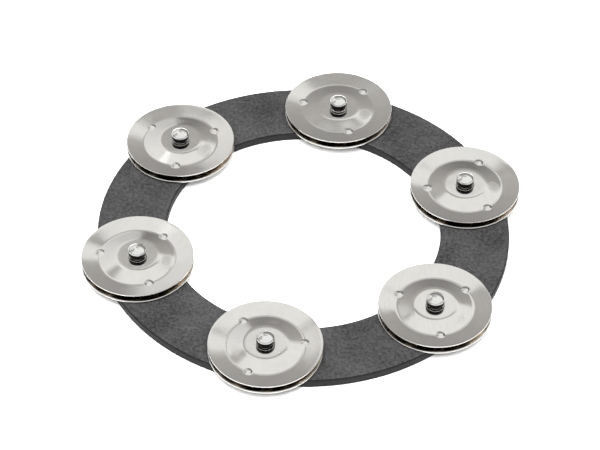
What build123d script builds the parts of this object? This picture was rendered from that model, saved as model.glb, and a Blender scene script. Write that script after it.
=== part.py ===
from build123d import *
from math import cos, radians, sin
import os

# A jingle ring: a flat plate ring with six pairs of loose pressed-steel discs.
# Each pair hangs on a round-headed rivet.
# Units are millimetres. The origin is the centre of the ring on its underside, and +Z points up.

# ring plate
RING_OUTER_R = 76.2
RING_INNER_R = 50.8
RING_THICK = 3.5
RING_TOP_ROUND = 0.7
RING_BOTTOM_ROUND = 0.5

# rivets, evenly spaced on a circle midway across the plate
RIVET_COUNT = 6
RIVET_PITCH_R = (RING_OUTER_R + RING_INNER_R) / 2
FIRST_RIVET_ANGLE = 18.0
SHANK_R = 2.0
SHANK_CLEARANCE = 0.05
HEAD_R = 3.3
HEAD_HEIGHT = 3.4
HEAD_BALL_R = 5.0
HEAD_WALL = HEAD_HEIGHT - HEAD_BALL_R + (HEAD_BALL_R**2 - HEAD_R**2) ** 0.5
HEAD_SHOULDER = 0.9
HEAD_FOOT = 0.5
TAIL_R = 3.1
TAIL_THICK = 0.55
TAIL_ROUND = 0.33
TAIL_BORE_R = 1.2
TAIL_BORE_DEPTH = 2.4
TAIL_FLARE = 0.5

# backing washers, sunk into the underside of the plate
WASHER_R = 4.0
WASHER_THICK = 0.8
RECESS_R = 4.3
RECESS_DEPTH = 1.5

# jingles: a flat crown, a cone falling to a fold, and a cone rising again to the rim
JINGLE_R = 20.5
JINGLE_HOLE_R = 2.6
CROWN_R = 7.9
FOLD_R = 13.9
SHEET = 0.5
CROWN_RISE = 1.5
RIM_RISE = 1.25
PIP_COUNT = 3
PIP_BALL_R = 1.9
PIP_RISE = 0.95
PIP_BALL_Z = SHEET + PIP_RISE - PIP_BALL_R
EDGE_ROUND = 0.2

# slack when edges are picked out by their height
NEAR = 0.01

# how each pair is stacked on its rivet, and how far it can lift
REST_GAP = 0.05
PAIR_GAP = 0.1
HEAD_PLAY = 0.7

# the angle of one pip on each disc, as the loose discs lie at rest
UPPER_YAWS = (65, 46, 25, 50, 5, 36)
LOWER_YAWS = (20, 95, 70, 10, 80, 115)

LOWER_FOLD_Z = RING_THICK + REST_GAP + CROWN_RISE + SHEET
UPPER_FOLD_Z = LOWER_FOLD_Z + PAIR_GAP
UPPER_CROWN_Z = UPPER_FOLD_Z + SHEET + CROWN_RISE
HEAD_Z = UPPER_CROWN_Z + HEAD_PLAY


def rivet_place(index):
    """Centre of one rivet on the plate's underside."""
    angle = radians(FIRST_RIVET_ANGLE + index * 360 / RIVET_COUNT)
    return RIVET_PITCH_R * cos(angle), RIVET_PITCH_R * sin(angle)


def make_plate():
    """Flat annular plate with rounded edges, and a stepped hole for each rivet."""
    with BuildPart() as plate:
        with BuildSketch():
            Circle(RING_OUTER_R)
            Circle(RING_INNER_R, mode=Mode.SUBTRACT)
        extrude(amount=RING_THICK)
        rims = plate.edges().filter_by(GeomType.CIRCLE).group_by(Axis.Z)
        fillet(rims[-1], RING_TOP_ROUND)
        rims = plate.edges().filter_by(GeomType.CIRCLE).group_by(Axis.Z)
        fillet(rims[0], RING_BOTTOM_ROUND)
        with PolarLocations(RIVET_PITCH_R, RIVET_COUNT, start_angle=FIRST_RIVET_ANGLE):
            Cylinder(
                SHANK_R + SHANK_CLEARANCE,
                RING_THICK,
                align=(Align.CENTER, Align.CENTER, Align.MIN),
                mode=Mode.SUBTRACT,
            )
            Cylinder(
                RECESS_R,
                RECESS_DEPTH,
                align=(Align.CENTER, Align.CENTER, Align.MIN),
                mode=Mode.SUBTRACT,
            )
    plate.part.label = "ring_plate"
    return plate.part


def make_rivet():
    """Round-headed rivet on the Z axis, its tubular tail rolled out over the washer."""
    tail_top = RECESS_DEPTH - WASHER_THICK
    tail_bottom = tail_top - TAIL_THICK
    with BuildPart() as rivet:
        with BuildSketch(Plane.XZ):
            with BuildLine():
                Polyline(
                    (TAIL_BORE_R + TAIL_FLARE, tail_bottom),
                    (TAIL_R, tail_bottom),
                    (TAIL_R, tail_top),
                    (SHANK_R, tail_top),
                    (SHANK_R, HEAD_Z),
                    (HEAD_R, HEAD_Z),
                    (HEAD_R, HEAD_Z + HEAD_WALL),
                )
                dome = ThreePointArc(
                    (HEAD_R, HEAD_Z + HEAD_WALL),
                    dome_point(0.5),
                    (0, HEAD_Z + HEAD_HEIGHT),
                )
                Polyline(
                    dome @ 1,
                    (0, tail_bottom + TAIL_BORE_DEPTH),
                    (TAIL_BORE_R, tail_bottom + TAIL_BORE_DEPTH - TAIL_BORE_R),
                    (TAIL_BORE_R, tail_bottom + TAIL_FLARE),
                    (TAIL_BORE_R + TAIL_FLARE, tail_bottom),
                )
            make_face()
        revolve(axis=Axis.Z)
        circles = rivet.edges().filter_by(GeomType.CIRCLE)
        fillet(circles.filter_by_position(Axis.Z, HEAD_Z + NEAR, HEAD_Z + HEAD_HEIGHT), HEAD_SHOULDER)
        circles = rivet.edges().filter_by(GeomType.CIRCLE)
        under_head = circles.filter_by_position(Axis.Z, HEAD_Z - NEAR, HEAD_Z + NEAR)
        fillet(under_head.sort_by(SortBy.RADIUS)[-1], HEAD_FOOT)
        circles = rivet.edges().filter_by(GeomType.CIRCLE)
        tail_rim = circles.filter_by_position(Axis.Z, 0, tail_top - NEAR).sort_by(SortBy.RADIUS)[-1]
        fillet(tail_rim, TAIL_ROUND)
    return rivet.part


def dome_point(share):
    """A point on the head's spherical top, at this share of the head's radius from the axis."""
    r = HEAD_R * share
    return r, HEAD_Z + HEAD_HEIGHT - HEAD_BALL_R + (HEAD_BALL_R**2 - r**2) ** 0.5


def make_washer():
    """Flat backing washer at the top of the recess."""
    with BuildPart() as washer:
        with BuildSketch(Plane.XY.offset(RECESS_DEPTH - WASHER_THICK)):
            Circle(WASHER_R)
            Circle(SHANK_R + SHANK_CLEARANCE, mode=Mode.SUBTRACT)
        extrude(amount=WASHER_THICK)
    return washer.part


def sheet_line(height):
    """Corners of the disc's section from hole to rim, at this height above the sheet's inner face."""
    return [
        (JINGLE_HOLE_R, CROWN_RISE + height),
        (CROWN_R, CROWN_RISE + height),
        (FOLD_R, height),
        (JINGLE_R, RIM_RISE + height),
    ]


def make_pips():
    """Three ball caps on the fold, cut off at the sheet's inner face."""
    with BuildPart() as pips:
        with PolarLocations(FOLD_R, PIP_COUNT):
            with Locations((0, 0, PIP_BALL_Z)):
                Sphere(PIP_BALL_R)
        with BuildSketch(Plane.XZ):
            with BuildLine():
                Polyline(*sheet_line(0), *reversed(sheet_line(PIP_BALL_R * 2)), close=True)
            make_face()
        revolve(axis=Axis.Z, mode=Mode.INTERSECT)
    return pips.part


def make_jingle():
    """Pressed disc on the Z axis, crown and rim up, with three hollow pips on the fold.

    The fold's inner face is at z 0.
    """
    pips = make_pips()
    with BuildPart() as jingle:
        with BuildSketch(Plane.XZ):
            with BuildLine():
                Polyline(*sheet_line(0), *reversed(sheet_line(SHEET)), close=True)
            make_face()
        revolve(axis=Axis.Z)
        rim = jingle.edges().filter_by(GeomType.CIRCLE).sort_by(SortBy.RADIUS)[-2:]
        fillet(rim, EDGE_ROUND)
        add(pips)
        with PolarLocations(FOLD_R, PIP_COUNT):
            with Locations((0, 0, PIP_BALL_Z)):
                Sphere(PIP_BALL_R - SHEET, mode=Mode.SUBTRACT)
    return jingle.part


def export_copy(shape, name, place):
    """Writes one placed, labelled piece."""
    piece = place * shape
    piece.label = name
    export_step(piece, f"parts/{name}.step")


def main():
    os.makedirs("parts", exist_ok=True)
    export_step(make_plate(), "parts/ring_plate.step")
    rivet = make_rivet()
    washer = make_washer()
    jingle = make_jingle()
    for index in range(RIVET_COUNT):
        x, y = rivet_place(index)
        number = index + 1
        export_copy(rivet, f"rivet_{number}", Location((x, y, 0)))
        export_copy(washer, f"washer_{number}", Location((x, y, 0)))
        export_copy(
            jingle,
            f"upper_jingle_{number}",
            Location((x, y, UPPER_FOLD_Z), (0, 0, UPPER_YAWS[index])),
        )
        export_copy(
            jingle,
            f"lower_jingle_{number}",
            Location((x, y, LOWER_FOLD_Z), (180, 0, LOWER_YAWS[index])),
        )


main()
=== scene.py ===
"""Looks of a jingle ring: a dark plastic ring with six pairs of loose steel jingles, each pair on a rivet.

Everything is in metres, in the frame of the CAD model, which is loaded first and never moved.
"""

import math

import bmesh
import bpy
from mathutils import Matrix, Quaternion, Vector, noise


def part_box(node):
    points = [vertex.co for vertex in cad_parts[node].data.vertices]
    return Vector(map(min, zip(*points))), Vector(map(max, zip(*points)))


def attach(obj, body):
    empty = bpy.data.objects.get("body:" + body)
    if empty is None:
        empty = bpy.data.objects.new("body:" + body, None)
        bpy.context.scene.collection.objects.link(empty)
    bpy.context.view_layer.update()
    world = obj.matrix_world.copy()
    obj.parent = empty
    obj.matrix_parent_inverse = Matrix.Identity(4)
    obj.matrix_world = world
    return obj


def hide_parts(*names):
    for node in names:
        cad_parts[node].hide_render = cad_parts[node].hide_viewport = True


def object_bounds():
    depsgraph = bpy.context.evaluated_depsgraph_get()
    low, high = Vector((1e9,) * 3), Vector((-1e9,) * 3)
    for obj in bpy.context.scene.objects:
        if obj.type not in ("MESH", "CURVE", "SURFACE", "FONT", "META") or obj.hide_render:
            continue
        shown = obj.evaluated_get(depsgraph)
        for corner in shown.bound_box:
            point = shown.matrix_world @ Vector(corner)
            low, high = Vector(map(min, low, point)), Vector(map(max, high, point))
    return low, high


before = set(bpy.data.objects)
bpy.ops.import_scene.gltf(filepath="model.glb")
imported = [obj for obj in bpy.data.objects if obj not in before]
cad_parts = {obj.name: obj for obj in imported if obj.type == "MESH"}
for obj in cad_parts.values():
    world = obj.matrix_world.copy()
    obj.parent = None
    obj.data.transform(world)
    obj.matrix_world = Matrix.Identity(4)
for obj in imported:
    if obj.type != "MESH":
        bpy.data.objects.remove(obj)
cad_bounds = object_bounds()

MM = 0.001
PAIRS = 6

# pressed jingle: flat crown, cone down to the fold, cone up to the rim
# heights are from the fold's inner face
SHEET = 0.5 * MM
HOLE_R = 2.6 * MM
CROWN_R = 7.9 * MM
FOLD_R = 13.9 * MM
CROWN_RISE = 1.5 * MM
RIM_RISE = 1.25 * MM
CROWN_BEND = 0.9 * MM
FOLD_BEND = 0.6 * MM
PIP_COUNT = 3
PIP_RISE = 0.95 * MM
PIP_BALL = 1.9 * MM
PIP_FOOT = 0.3 * MM
WAVE = 0.022 * MM
RIM_STEPS = 8

# rivet
SHANK_R = 2.0 * MM
HEAD_TALL = 3.4 * MM
HEAD_R = 3.3 * MM
HEAD_BALL = 5.0 * MM
HEAD_SHOULDER = 0.9 * MM
HEAD_FOOT = 0.5 * MM
# heights over the head's underside of the band of its wall painted near-black: a painted dark reflection
PAINTED_REFLECTION_SPAN = (0.15 * MM, 1.6 * MM)
TAIL_R = 3.1 * MM
TAIL_THICK = 0.55 * MM
TAIL_BORE_R = 1.2 * MM
TAIL_BORE_DEPTH = 2.4 * MM
TAIL_FLARE = 0.5 * MM
RECESS_R = 4.3 * MM
RECESS_DEPTH = 1.5 * MM
SHANK_HOLE_R = 2.05 * MM

# plate
TOP_ROUND = 0.7 * MM
BOTTOM_ROUND = 0.5 * MM
PLATE_SIDES = 360

# how each loose jingle rocks on its rivet at rest: lean in degrees, and the direction that it leans towards
UPPER_LEAN = ((0.3, 270), (1.2, 85), (1.2, 125), (0.7, 150), (0.3, 250), (0.4, 300))
LOWER_LEAN = ((0.2, 90), (0.8, 90), (0.7, 100), (0.4, 150), (0.3, 330), (0.3, 270))

# the room under a lower jingle's crown and between the folds of a pair, before they lean
PLATE_GAP = 0.05 * MM
PAIR_GAP = 0.1 * MM

# how deep each upper jingle's crown and rim came out of the press
UPPER_PRESS = ((1.0, 1.0), (0.68, 0.78), (0.9, 0.85), (1.0, 1.0), (1.0, 1.0), (1.0, 1.0))

# how near a point of a CAD jingle is to the fold, and to the top of a pip, to count as its tip
NEAR_FOLD = 0.6 * MM
NEAR_TIP = 0.25 * MM

# looks of the jingles
JINGLE_STEEL = (0.82, 0.81, 0.79)
PATCH_R = 10.8 * MM
PATCH_TURNS = (-5, -20, -30, -15, 75, -38)
PATCH_SQUEEZE = (1 / (2.1 * MM), 1 / (3.4 * MM), 0)

# camera
CAMERA_DISTANCE = 0.930
CAMERA_ELEVATION = 45.1
CAMERA_TURN = -0.37
CAMERA_AIM = Vector((-0.0013, 0.0043, 0.0))
CAMERA_ROLL = 0.80
CAMERA_LENS = 150.2

# light panels
OVERHEAD = (-0.05, -0.35, 1.45)
LEFT = (-0.3825, 0.30, 0.236)
LEFT_AIM = (-0.3825, 0, 0.236)
LEFT_ROLL = -11.3


# ---------------------------------------------------------------- shapes

def new_object(name, bm):
    """Links a mesh object made from a bmesh, shaded smooth."""
    mesh = bpy.data.meshes.new(name)
    bmesh.ops.recalc_face_normals(bm, faces=bm.faces)
    bm.to_mesh(mesh)
    bm.free()
    mesh.shade_smooth()
    obj = bpy.data.objects.new(name, mesh)
    bpy.context.scene.collection.objects.link(obj)
    return obj


def turned(profile, angles, closed):
    """Turns a profile of (radius, height) points round Z. An open profile starts and ends on the axis."""
    bm = bmesh.new()
    columns = []
    poles = {}
    for angle in angles:
        c, s = math.cos(angle), math.sin(angle)
        column = []
        for index, (r, z) in enumerate(profile):
            if r < 1e-9:
                if index not in poles:
                    poles[index] = bm.verts.new((0, 0, z))
                column.append(poles[index])
            else:
                column.append(bm.verts.new((r * c, r * s, z)))
        columns.append(column)
    rows = len(profile)
    for here, there in zip(columns, columns[1:] + columns[:1]):
        for i in range(rows if closed else rows - 1):
            j = (i + 1) % rows
            corners = []
            for vert in (here[i], here[j], there[j], there[i]):
                if vert not in corners:
                    corners.append(vert)
            bm.faces.new(corners)
    return bm


def circle_angles(count):
    return [2 * math.pi * i / count for i in range(count)]


def arc(centre_r, centre_z, radius, start, stop, steps):
    """Points of an arc in a profile, angles in degrees from the outward direction."""
    points = []
    for i in range(steps + 1):
        a = math.radians(start + (stop - start) * i / steps)
        points.append((centre_r + radius * math.cos(a), centre_z + radius * math.sin(a)))
    return points


def bend(r, corner, before, after, width):
    """Extra height that rounds a corner of a profile between two slopes."""
    d = r - corner
    if abs(d) >= width:
        return 0.0
    return (after - before) * (width - abs(d)) ** 2 / (4 * width)


def sheet_height(r, press=(1.0, 1.0)):
    """Height of the sheet's middle over the fold's at this radius; press scales crown and rim."""
    crown = CROWN_RISE * press[0]
    inner = -crown / (FOLD_R - CROWN_R)
    outer = RIM_RISE * press[1] / (jingle_r - FOLD_R)
    if r < CROWN_R:
        z = crown
    elif r < FOLD_R:
        z = crown + inner * (r - CROWN_R)
    else:
        z = outer * (r - FOLD_R)
    z += bend(r, CROWN_R, 0, inner, CROWN_BEND)
    return z + bend(r, FOLD_R, inner, outer, FOLD_BEND)


def spaced(start, stop, step):
    count = max(1, round((stop - start) / step))
    return [start + (stop - start) * i / count for i in range(count)]


def jingle_radii():
    """Radii of the sheet's rows, close together at the bends and pips."""
    radii = spaced(HOLE_R + SHEET * 0.5, CROWN_R - CROWN_BEND, 1.1 * MM)
    radii += spaced(CROWN_R - CROWN_BEND, CROWN_R + CROWN_BEND, 0.3 * MM)
    radii += spaced(CROWN_R + CROWN_BEND, FOLD_R - 2.0 * MM, 0.9 * MM)
    radii += spaced(FOLD_R - 2.0 * MM, FOLD_R - FOLD_BEND, 0.2 * MM)
    radii += spaced(FOLD_R - FOLD_BEND, FOLD_R + FOLD_BEND, 0.15 * MM)
    radii += spaced(FOLD_R + FOLD_BEND, FOLD_R + 2.0 * MM, 0.2 * MM)
    radii += spaced(FOLD_R + 2.0 * MM, jingle_r - SHEET * 0.5, 0.9 * MM)
    return radii + [jingle_r - SHEET * 0.5]


def jingle_profile(press):
    """Closed section of the sheet: upper face outward, round the rim, lower face back, round the hole."""
    half = SHEET / 2
    radii = jingle_radii()
    rim_z = sheet_height(jingle_r, press)
    top = [(r, sheet_height(r, press) + half) for r in radii]
    bottom = [(r, sheet_height(r, press) - half) for r in reversed(radii)]
    rim = arc(jingle_r - half, rim_z, half, 90, -90, RIM_STEPS)[1:-1]
    hole = arc(HOLE_R + half, CROWN_RISE * press[0], half, 270, 90, 6)[1:-1]
    return top + rim + bottom + hole


def jingle_angles():
    """Angles round the disc, close together at the pips."""
    angles = []
    near = math.radians(8)
    third = 2 * math.pi / PIP_COUNT
    for pip in range(PIP_COUNT):
        angles += spaced(pip * third - near, pip * third + near, math.radians(0.8))
        angles += spaced(pip * third + near, (pip + 1) * third - near, math.radians(2.6))
    return angles


def pip_lift(x, y, press):
    """How far the sheet is pushed out by a pip at this place on the disc: a ball blended into the fold."""
    flat = sheet_height(math.hypot(x, y), press)
    lift = 0.0
    for pip in range(PIP_COUNT):
        a = 2 * math.pi * pip / PIP_COUNT
        d = math.hypot(x - FOLD_R * math.cos(a), y - FOLD_R * math.sin(a))
        if d < PIP_BALL:
            over = math.sqrt(PIP_BALL**2 - d**2) - PIP_BALL + PIP_RISE - flat
            soft = max(0.0, PIP_FOOT - abs(over)) ** 2 / (4 * PIP_FOOT)
            lift += max(0.0, over) + soft
    return lift


def make_jingle(name, seed, attitude, press):
    """A pressed disc about the origin, slightly wavy as thin sheet is, turned to its attitude.

    Its faces towards the other disc of the pair take the second material: tarnish, darkened as painted
    shade of the gap between the discs.
    """
    rows = jingle_profile(press)
    bm = turned(rows, jingle_angles(), closed=True)
    mating = range(len(jingle_radii()) + RIM_STEPS - 1, 2 * len(jingle_radii()) + RIM_STEPS - 1)
    bm.faces.index_update()
    for face in bm.faces:
        face.material_index = int(face.index % len(rows) in mating)
    for vert in bm.verts:
        x, y = vert.co.x, vert.co.y
        wave = noise.noise(Vector((x / (9 * MM), y / (9 * MM), seed * 7.3)))
        fine = noise.noise(Vector((x / (3.5 * MM), y / (3.5 * MM), seed * 3.1 + 50)))
        vert.co.z += pip_lift(x, y, press) + WAVE * (wave + 0.35 * fine)
    bm.transform(attitude)
    return new_object(name, bm)


def make_rivet(name, low, high, head_z):
    """A turned rivet on its own axis: round head, shank, and a tail rolled out round its bore."""
    tail_top = low + TAIL_THICK
    turn_r = HEAD_R - HEAD_SHOULDER
    cap_edge = math.degrees(math.asin(turn_r / (HEAD_BALL - HEAD_SHOULDER)))
    shoulder_z = high - HEAD_BALL + (HEAD_BALL - HEAD_SHOULDER) * math.cos(math.radians(cap_edge))
    profile = arc(0, high - HEAD_BALL, HEAD_BALL, 90, 90 - cap_edge, 16)
    profile += arc(turn_r, shoulder_z, HEAD_SHOULDER, 90 - cap_edge, 0, 8)[1:]
    profile += arc(HEAD_R - HEAD_FOOT, head_z + HEAD_FOOT, HEAD_FOOT, 0, -90, 6)
    profile += [(SHANK_R + 0.1 * MM, head_z), (SHANK_R, head_z - 0.1 * MM)]
    profile += [(SHANK_R, (head_z + tail_top) / 2), (SHANK_R, tail_top + 0.1 * MM)]
    profile += [(SHANK_R + 0.15 * MM, tail_top)]
    roll = TAIL_THICK / 2
    profile += arc(TAIL_R - roll, low + roll, roll, 90, -90, 8)
    profile += arc(TAIL_BORE_R + TAIL_FLARE, low + TAIL_FLARE, TAIL_FLARE, 270, 180, 6)
    profile += [(TAIL_BORE_R, low + TAIL_BORE_DEPTH - TAIL_BORE_R), (0, low + TAIL_BORE_DEPTH)]
    profile[0] = (0, high)
    bm = turned(profile, circle_angles(96), closed=False)
    # faces in this band of the head take the near-black second material: painted dark reflection
    for face in bm.faces:
        height = face.calc_center_median().z - head_z
        face.material_index = int(PAINTED_REFLECTION_SPAN[0] < height < PAINTED_REFLECTION_SPAN[1])
    return new_object(name, bm)


def make_plate(low, high):
    """The ring with rounded edges and a stepped hole for each rivet."""
    outer, bottom, top = high.x, low.z, high.z
    profile = arc(outer - TOP_ROUND, top - TOP_ROUND, TOP_ROUND, 90, 0, 6)
    profile += arc(outer - BOTTOM_ROUND, bottom + BOTTOM_ROUND, BOTTOM_ROUND, 0, -90, 5)
    profile += arc(plate_inner_r + BOTTOM_ROUND, bottom + BOTTOM_ROUND, BOTTOM_ROUND, 270, 180, 5)
    profile += arc(plate_inner_r + TOP_ROUND, top - TOP_ROUND, TOP_ROUND, 180, 90, 6)
    plate = new_object("ring_body", turned(profile, circle_angles(PLATE_SIDES), closed=True))
    for centre in rivet_centres:
        drill(plate, centre, SHANK_HOLE_R, bottom - MM, top + MM)
        drill(plate, centre, RECESS_R, bottom - MM, bottom + RECESS_DEPTH)
    smooth_by_angle(plate, 35)
    return plate


def drill(obj, centre, radius, bottom, top):
    """Cuts one round hole through an object's mesh."""
    bm = bmesh.new()
    tool = {"radius1": radius, "radius2": radius, "depth": top - bottom}
    bmesh.ops.create_cone(bm, cap_ends=True, segments=64, **tool)
    cutter = new_object("cutter", bm)
    cutter.location = (centre.x, centre.y, (top + bottom) / 2)
    cut = obj.modifiers.new("hole", "BOOLEAN")
    cut.operation = "DIFFERENCE"
    cut.solver = "EXACT"
    cut.object = cutter
    apply_modifiers(obj)
    bpy.data.objects.remove(cutter)


def apply_modifiers(obj):
    """Replaces an object's mesh by what its modifiers make of it."""
    bpy.context.view_layer.update()
    graph = bpy.context.evaluated_depsgraph_get()
    mesh = bpy.data.meshes.new_from_object(obj.evaluated_get(graph))
    obj.modifiers.clear()
    old, obj.data = obj.data, mesh
    mesh.name = obj.name
    bpy.data.meshes.remove(old)


def smooth_by_angle(obj, degrees):
    """Marks edges sharper than this angle as sharp, and shades the rest smooth."""
    bm = bmesh.new()
    bm.from_mesh(obj.data)
    for edge in bm.edges:
        if len(edge.link_faces) == 2:
            edge.smooth = edge.calc_face_angle(0) < math.radians(degrees)
    bm.to_mesh(obj.data)
    bm.free()


# ---------------------------------------------------------------- materials

def node_adder(tree):
    """A function that adds a node to this tree, and links or sets its inputs."""
    def add(kind, inputs=(), **settings):
        node = tree.nodes.new(kind)
        for key, value in settings.items():
            setattr(node, key, value)
        for key, value in dict(inputs).items():
            if isinstance(value, bpy.types.NodeSocket):
                tree.links.new(value, node.inputs[key])
            else:
                node.inputs[key].default_value = value
        return node

    return add


def shader(name):
    """A new material and its node tree, Principled shader and a function that adds linked nodes."""
    material = bpy.data.materials.new(name)
    material.use_nodes = True
    tree = material.node_tree
    return material, tree, tree.nodes["Principled BSDF"], node_adder(tree)


def ramp(add, factor, stops):
    """A colour ramp of grey or coloured stops."""
    node = add("ShaderNodeValToRGB", {0: factor})
    elements = node.color_ramp.elements
    while len(elements) < len(stops):
        elements.new(0.5)
    for element, (position, colour) in zip(elements, stops):
        element.position = position
        rgb = colour if isinstance(colour, tuple) else (colour,) * 3
        element.color = (*rgb, 1)
    return node.outputs["Color"]


def maths(add, operation, *values):
    """The result of one arithmetic node."""
    return add("ShaderNodeMath", dict(enumerate(values)), operation=operation).outputs[0]


def remap(add, value, low, high, start=0.0, end=1.0, soft=False):
    """A value mapped from one range to another, and held at its ends."""
    spans = {"Value": value, "From Min": low, "From Max": high, "To Min": start, "To Max": end}
    easing = "SMOOTHSTEP" if soft else "LINEAR"
    return add("ShaderNodeMapRange", spans, interpolation_type=easing).outputs["Result"]


def blend(add, factor, a, b):
    """A mix of two colours."""
    return add("ShaderNodeMix", {"Factor": factor, "A": a, "B": b}, data_type="RGBA").outputs[2]


def average(add, share, a, b):
    """A mix of two values."""
    return add("ShaderNodeMix", {"Factor": share, "A": a, "B": b}).outputs[0]


def cloudy(add, where, scale, detail, roughness):
    """Noise of this size."""
    settings = {"Vector": where, "Scale": scale, "Detail": detail, "Roughness": roughness}
    return add("ShaderNodeTexNoise", settings).outputs["Fac"]


def embossed(add, height, strength, distance, normal=None):
    """A surface normal with this relief on it."""
    inputs = {"Height": height, "Strength": strength, "Distance": distance}
    if normal is not None:
        inputs["Normal"] = normal
    return add("ShaderNodeBump", inputs).outputs["Normal"]


def steel_material(name, seed, base, roughness, lines, patch=0.0):
    """Bright plated steel: faint rolling lines, soft smudges and, on a jingle, peened patches."""
    material, tree, principled, add = shader(name)
    where = add("ShaderNodeTexCoord").outputs["Object"]
    shift = Vector((0.37, 0.21, 0.11)) * seed
    place = add("ShaderNodeMapping", {"Vector": where, "Location": shift}).outputs["Vector"]
    turn = {"Vector": place, "Rotation": (0, 0, seed * 1.3)}
    turned_by = add("ShaderNodeMapping", turn).outputs["Vector"]
    stretch = {"Vector": turned_by, "Scale": (1.0, 22.0, 1.0)}
    stretched = add("ShaderNodeMapping", stretch).outputs["Vector"]
    rolling = cloudy(add, stretched, 300.0, 4.0, 0.6)
    smudge = cloudy(add, place, 190.0, 5.0, 0.55)
    tone = average(add, 0.6, smudge, rolling)
    colour = ramp(add, tone, [(0.36, tuple(0.91 * c for c in base)), (0.62, base)])
    tree.links.new(colour, principled.inputs["Base Color"])
    rough = remap(add, smudge, 0.3, 0.75, roughness * 0.75, roughness * 1.4)
    tree.links.new(rough, principled.inputs["Roughness"])
    normal = embossed(add, rolling, lines, 0.02 * MM)
    if patch:
        normal = peened(add, where, normal, patch)
    tree.links.new(normal, principled.inputs["Normal"])
    principled.inputs["Metallic"].default_value = 1.0
    return material


def peened(add, where, normal, angle):
    """Two small fields of random hammer dimples on the inner cone, one strong and one faint."""
    for turn, strength in ((angle, 0.7), (angle + 2 * math.pi / PIP_COUNT, 0.25)):
        centre = Vector((math.cos(turn), math.sin(turn), 0)) * PATCH_R
        offset = add("ShaderNodeVectorMath", {0: where, 1: centre}, operation="SUBTRACT").outputs[0]
        rotate = {"Vector": offset, "Rotation": (0, 0, -turn)}
        along = add("ShaderNodeMapping", rotate, vector_type="POINT").outputs["Vector"]
        scaled = add("ShaderNodeVectorMath", {0: along, 1: PATCH_SQUEEZE}, operation="MULTIPLY")
        far = add("ShaderNodeVectorMath", {0: scaled.outputs[0]}, operation="LENGTH").outputs["Value"]
        inside = remap(add, far, 0.3, 1.3, strength, 0.0, soft=True)
        dimples = add("ShaderNodeTexVoronoi", {"Vector": where, "Scale": 2600.0}, feature="F1")
        normal = embossed(add, dimples.outputs["Distance"], inside, 0.12 * MM, normal)
    return normal


def tarnish_and_painted_dark_material(name, dark, light, roughness, scale):
    """Dark, dull steel in soft uneven blotches: on the jingles' mating faces partly beige tarnish and
    partly painted shade of the gap between the discs, on the rivet heads a painted dark reflection.
    """
    material, tree, principled, add = shader(name)
    where = add("ShaderNodeTexCoord").outputs["Object"]
    cloud = cloudy(add, where, scale, 4.0, 0.6)
    colour = ramp(add, cloud, [(0.44, dark), (0.62, light)])
    tree.links.new(colour, principled.inputs["Base Color"])
    rough = remap(add, cloud, 0.3, 0.7, roughness * 0.7, roughness * 1.3)
    tree.links.new(rough, principled.inputs["Roughness"])
    principled.inputs["Metallic"].default_value = 1.0
    return material


def plastic_material(name, dark, light, sheen):
    """Dark grey plastic with a fine leathery grain."""
    material, tree, principled, add = shader(name)
    where = add("ShaderNodeTexCoord").outputs["Object"]
    cloud = cloudy(add, where, 900.0, 4.0, 0.65)
    broad = cloudy(add, where, 70.0, 3.0, 0.5)
    grain = add("ShaderNodeTexVoronoi", {"Vector": where, "Scale": 1900.0}, feature="SMOOTH_F1")
    mottle = average(add, 0.35, cloud, broad)
    colour = ramp(add, mottle, [(0.36, dark), (0.64, light)])
    tree.links.new(colour, principled.inputs["Base Color"])
    tree.links.new(remap(add, cloud, 0.3, 0.7, 0.55, 0.75), principled.inputs["Roughness"])
    coarse = embossed(add, cloud, 0.5, 0.08 * MM)
    fine = embossed(add, grain.outputs["Distance"], 0.4, 0.08 * MM, coarse)
    tree.links.new(fine, principled.inputs["Normal"])
    principled.inputs["Specular IOR Level"].default_value = sheen
    return material


def floor_material():
    """Plain pale floor."""
    material, tree, principled, add = shader("pale_floor")
    where = add("ShaderNodeTexCoord").outputs["Object"]
    colour = ramp(add, cloudy(add, where, 3.0, 2.0, 0.5), [(0.3, 0.93), (0.7, 0.95)])
    tree.links.new(colour, principled.inputs["Base Color"])
    principled.inputs["Roughness"].default_value = 0.9
    principled.inputs["Specular IOR Level"].default_value = 0.1
    return material


def paint(obj, *materials):
    """Gives an object its materials; a new mesh keeps the slot that each face was built with."""
    if obj.data.materials:
        obj.data.materials.clear()
    for material in materials:
        obj.data.materials.append(material)


# ---------------------------------------------------------------- pieces

def centre_of(node):
    low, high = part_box(node)
    return (low + high) / 2


def pip_angle(node, outward):
    """The angle of one pip of a CAD jingle: the threefold mean direction of its outermost points."""
    centre = centre_of(node)
    points = [v.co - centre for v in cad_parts[node].data.vertices]
    ring = [p for p in points if abs(math.hypot(p.x, p.y) - FOLD_R) < NEAR_FOLD]
    far = max(p.z * outward for p in ring)
    tips = [p for p in ring if p.z * outward > far - NEAR_TIP]
    c = sum(math.cos(PIP_COUNT * math.atan2(p.y, p.x)) for p in tips)
    s = sum(math.sin(PIP_COUNT * math.atan2(p.y, p.x)) for p in tips)
    return math.atan2(s, c) / PIP_COUNT


def slope(lean, towards):
    """A lean as a vector whose length is the slope and which points downhill."""
    downhill = math.radians(towards)
    return math.tan(math.radians(lean)) * Vector((math.cos(downhill), math.sin(downhill)))


def lean_lift(index, outward):
    """How far a leaning jingle has to ride up to stay clear of the plate, or of the jingle below it."""
    lower = slope(*LOWER_LEAN[index])
    lift = max(0.0, CROWN_R * lower.length - PLATE_GAP)
    if outward > 0:
        upper = slope(*UPPER_LEAN[index])
        lift += max(0.0, FOLD_R * (upper - lower).length - PAIR_GAP)
    return lift


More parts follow.
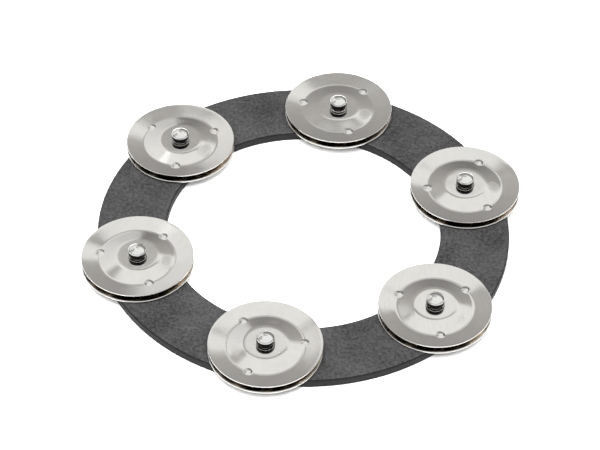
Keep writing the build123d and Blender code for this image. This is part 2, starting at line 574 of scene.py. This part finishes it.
def place_jingle(node, body, seed, outward, patch, press, lean, towards, lift):
    """Builds one detailed jingle where its CAD node lies, leaning a little on its loose hole."""
    low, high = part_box(node)
    centre = (low + high) / 2
    turn = pip_angle(node, outward)
    flip = Matrix.Rotation(math.pi, 4, "X") if outward < 0 else Matrix.Identity(4)
    axis = Matrix.Rotation(math.radians(towards), 4, "Z") @ Vector((0, 1, 0))
    rock = Matrix.Rotation(math.radians(lean), 4, axis)
    attitude = rock @ Matrix.Rotation(turn, 4, "Z") @ flip
    piece = make_jingle(node.replace("jingle", "disc"), seed, attitude, press)
    piece.location = (centre.x, centre.y, fold_mid_z[outward] + lift)
    bright = steel_material(piece.name + "_steel", seed, JINGLE_STEEL, 0.10, 0.4, math.radians(patch))
    paint(piece, bright, mating_tarnish_and_shade)
    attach(piece, body)
    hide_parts(node)


# ---------------------------------------------------------------- studio

def warm(level):
    """A slightly warm grey."""
    return (level, level * 0.975, level * 0.945)


def studio_light():
    """Soft studio light, painted by direction.

    A bright ceiling and back wall stand over a grey horizon, with a dimmer side towards the camera.
    Heights are the direction's Z, from 0 at the horizon to 1 overhead.
    """
    world = bpy.data.worlds.new("studio")
    bpy.context.scene.world = world
    world.use_nodes = True
    tree = world.node_tree
    add = node_adder(tree)
    direction = add("ShaderNodeTexCoord").outputs["Generated"]
    x, y, z = add("ShaderNodeSeparateXYZ", {"Vector": direction}).outputs
    across = maths(add, "ABSOLUTE", x)

    # the lit ceiling begins lower on the right; an arched grey band crosses it
    tilted = maths(add, "MULTIPLY_ADD", x, 0.375, z)
    slant = maths(add, "MULTIPLY_ADD", across, -0.125, tilted)
    lit = remap(add, slant, 0.685, 0.722, soft=True)
    arch = maths(add, "MULTIPLY_ADD", across, 0.37, z)
    above = remap(add, z, 0.76, 0.785, soft=True)
    below = remap(add, arch, 0.880, 0.893, 1.0, 0.0, soft=True)
    band = maths(add, "MULTIPLY", above, below)
    ceiling = blend(add, band, (0.96, 0.96, 0.94, 1), (*warm(0.46), 1))

    # the back wall is grey, and dark in its low outer corners
    levels = [(0.0, 0.25), (0.28, 0.24), (0.42, 0.38), (0.7, 0.52)]
    grey = ramp(add, z, [(height, warm(level)) for height, level in levels])
    aside = remap(add, across, 0.6, 0.8)
    low = remap(add, z, 0.25, 0.5, 1.0, 0.0)
    corner = maths(add, "MULTIPLY", aside, low)
    wall = blend(add, corner, grey, (*warm(0.04), 1))
    back = blend(add, lit, wall, ceiling)

    # towards the camera, and the pale floor's light from below
    front = ramp(add, z, [(0.0, 0.44), (0.66, 0.48), (0.74, 0.92)])
    side = remap(add, y, -0.12, 0.15, soft=True)
    sky = blend(add, side, front, back)
    under = remap(add, z, -0.06, -0.02, 1.0, 0.0)
    around = blend(add, under, sky, (0.9, 0.9, 0.9, 1))
    background = tree.nodes["Background"]
    tree.links.new(around, background.inputs["Color"])
    background.inputs["Strength"].default_value = 1.0


def panel(name, shape, size, watts, place, target, roll, glossy):
    """A soft light panel that the camera never sees; glossy says whether polished steel mirrors it."""
    data = bpy.data.lights.new(name, "AREA")
    data.shape = shape
    data.size = size[0]
    data.size_y = size[1]
    data.energy = watts
    lamp = bpy.data.objects.new(name, data)
    lamp.location = place
    aim = (Vector(target) - Vector(place)).to_track_quat("-Z", "Y")
    lamp.rotation_euler = (aim @ Quaternion((0, 0, 1), math.radians(roll))).to_euler()
    lamp.visible_camera = False
    lamp.visible_glossy = glossy
    bpy.context.scene.collection.objects.link(lamp)


def make_camera():
    data = bpy.data.cameras.new("camera")
    data.sensor_width = 36
    data.lens = CAMERA_LENS
    data.clip_start = 0.05
    data.clip_end = 20
    camera = bpy.data.objects.new("camera", data)
    e = math.radians(CAMERA_ELEVATION)
    place = Vector((0, -math.cos(e), math.sin(e))) * CAMERA_DISTANCE
    place.rotate(Matrix.Rotation(math.radians(CAMERA_TURN), 3, "Z"))
    aim = (CAMERA_AIM - place).to_track_quat("-Z", "Y").to_matrix().to_4x4()
    roll = Matrix.Rotation(math.radians(CAMERA_ROLL), 4, "Z")
    camera.matrix_world = Matrix.Translation(place) @ aim @ roll
    bpy.context.scene.collection.objects.link(camera)
    bpy.context.scene.camera = camera


def paint_plate(plate):
    """The moulded grain on the flat faces; the edges, side walls and holes take a darker plastic as painted
    shade.
    """
    paint(
        plate,
        plastic_material("ring_plastic", (0.014, 0.014, 0.0145), (0.056, 0.055, 0.0565), 0.3),
        plastic_material("ring_plastic_painted_shade", (0.004, 0.004, 0.004), (0.012, 0.012, 0.0125), 0.2),
    )
    # faces that do not face straight up or down get the darker plastic: painted shade
    for face in plate.data.polygons:
        face.material_index = int(abs(face.normal.z) < 0.9)


def make_floor():
    bm = bmesh.new()
    bmesh.ops.create_grid(bm, x_segments=1, y_segments=1, size=4.0)
    floor = new_object("floor", bm)
    floor.location.z = cad_bounds[0].z
    paint(floor, floor_material())


# ---------------------------------------------------------------- build

numbers = range(1, PAIRS + 1)
rivet_centres = [centre_of(f"rivet_{n}") for n in numbers]
low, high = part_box("upper_jingle_1")
jingle_r = (high.x - low.x + high.y - low.y) / 4
fold_mid_z = {
    1: high.z - CROWN_RISE - SHEET / 2,
    -1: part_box("lower_jingle_1")[0].z + CROWN_RISE + SHEET / 2,
}
plate_low, plate_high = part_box("ring_plate")
plate_inner_r = min(math.hypot(v.co.x, v.co.y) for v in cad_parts["ring_plate"].data.vertices)

make_camera()
studio_light()
panel("overhead_panel", "DISK", (1.6, 1.6), 60.0, OVERHEAD, (0, 0, 0), 0, glossy=False)
panel("left_panel", "RECTANGLE", (0.55, 0.55), 0.40, LEFT, LEFT_AIM, LEFT_ROLL, glossy=True)
make_floor()

ring = make_plate(plate_low, plate_high)
paint_plate(ring)
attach(ring, "ring")
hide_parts("ring_plate")

# dark blotchy steel with beige patches for the faces of a pair that face each other: beige tarnish, and
# painted shade of the gap between the discs
mating_tarnish_and_shade = tarnish_and_painted_dark_material("jingle_mating_face", (0.06, 0.05, 0.04), (0.60, 0.52, 0.42), 0.35, 80.0)
# near-black steel for the band round each rivet head: painted dark reflection
rivet_painted_reflection = tarnish_and_painted_dark_material("rivet_painted_reflection", (0.008, 0.008, 0.008), (0.024, 0.023, 0.022), 0.3, 140.0)
rivet_steel = steel_material("rivet_steel", 3, (0.88, 0.88, 0.87), 0.04, 0.06)
washer_steel = steel_material("washer_steel", 5, (0.62, 0.62, 0.62), 0.3, 0.4)
for n, centre in zip(numbers, rivet_centres):
    low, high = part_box(f"rivet_{n}")
    rivet = make_rivet(f"rivet_turned_{n}", low.z, high.z, high.z - HEAD_TALL)
    rivet.location = (centre.x, centre.y, 0)
    paint(rivet, rivet_steel, rivet_painted_reflection)
    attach(rivet, "ring")
    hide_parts(f"rivet_{n}")
    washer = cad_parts[f"washer_{n}"]
    paint(washer, washer_steel)
    patch = PATCH_TURNS[n - 1]
    place_jingle(f"upper_jingle_{n}", f"upper_{n}", n, 1, patch, UPPER_PRESS[n - 1], *UPPER_LEAN[n - 1],
                 lean_lift(n - 1, 1))
    place_jingle(f"lower_jingle_{n}", f"lower_{n}", n + PAIRS, -1, patch, (1.0, 1.0), *LOWER_LEAN[n - 1],
                 lean_lift(n - 1, -1))

bpy.context.scene.view_settings.view_transform = "Standard"
